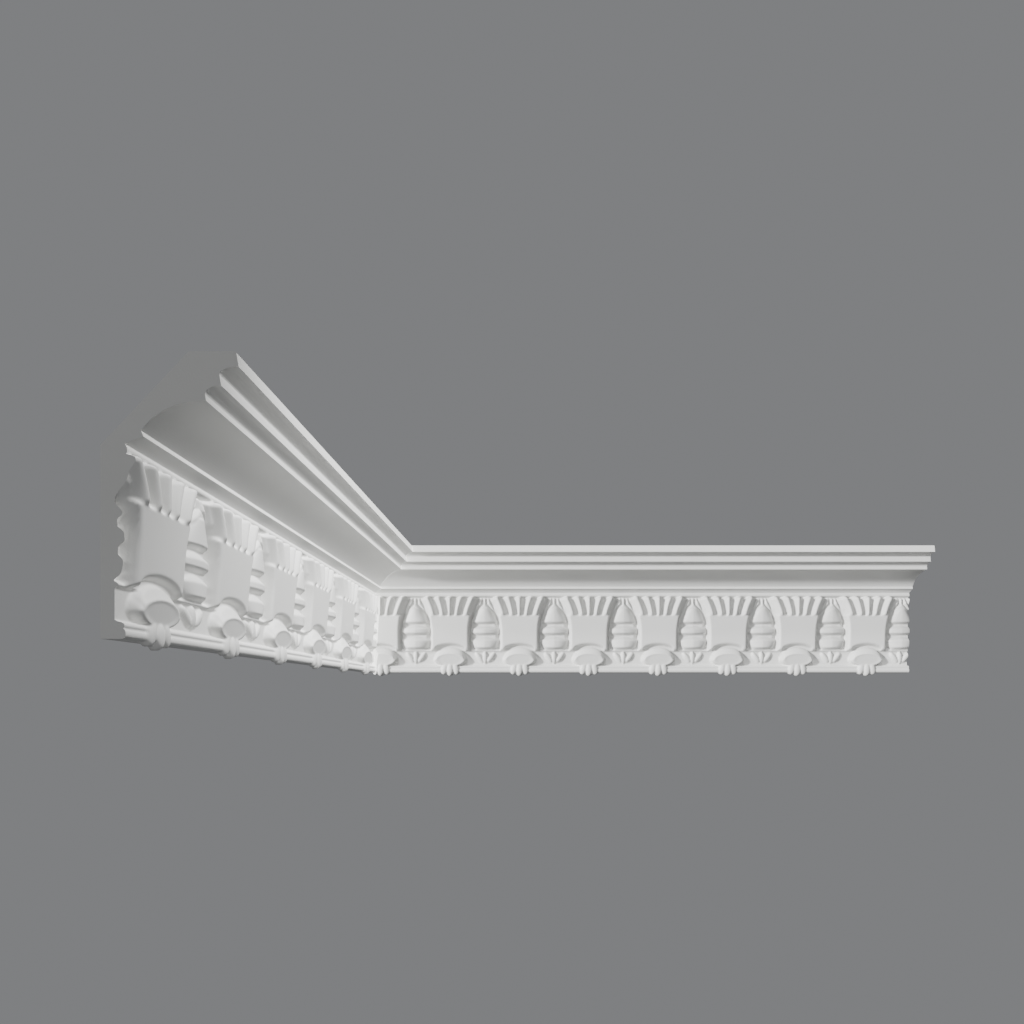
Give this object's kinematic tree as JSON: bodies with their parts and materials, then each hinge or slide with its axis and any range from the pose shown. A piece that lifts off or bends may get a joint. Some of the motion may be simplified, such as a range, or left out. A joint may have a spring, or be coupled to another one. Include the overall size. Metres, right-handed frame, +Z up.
{
  "type": "ornamental cornice corner",
  "caption": "Moulded cornice mitred round a room's internal corner, with a carved frieze of tongues and husks below a cove and stepped fillets.",
  "frame": {"origin": "middle of the back length's flat wall face", "axes": "+Z up to the ceiling, +Y into the wall behind the back length, +X along the back length away from the corner"},
  "size_m": [0.838, 0.642, 0.186],
  "materials": {
    "primed_polyurethane": "matt white primer over moulded polyurethane"
  },
  "bodies": {
    "root": {"back_length": "primed_polyurethane", "left_length": "primed_polyurethane"}
  },
  "joints": []
}
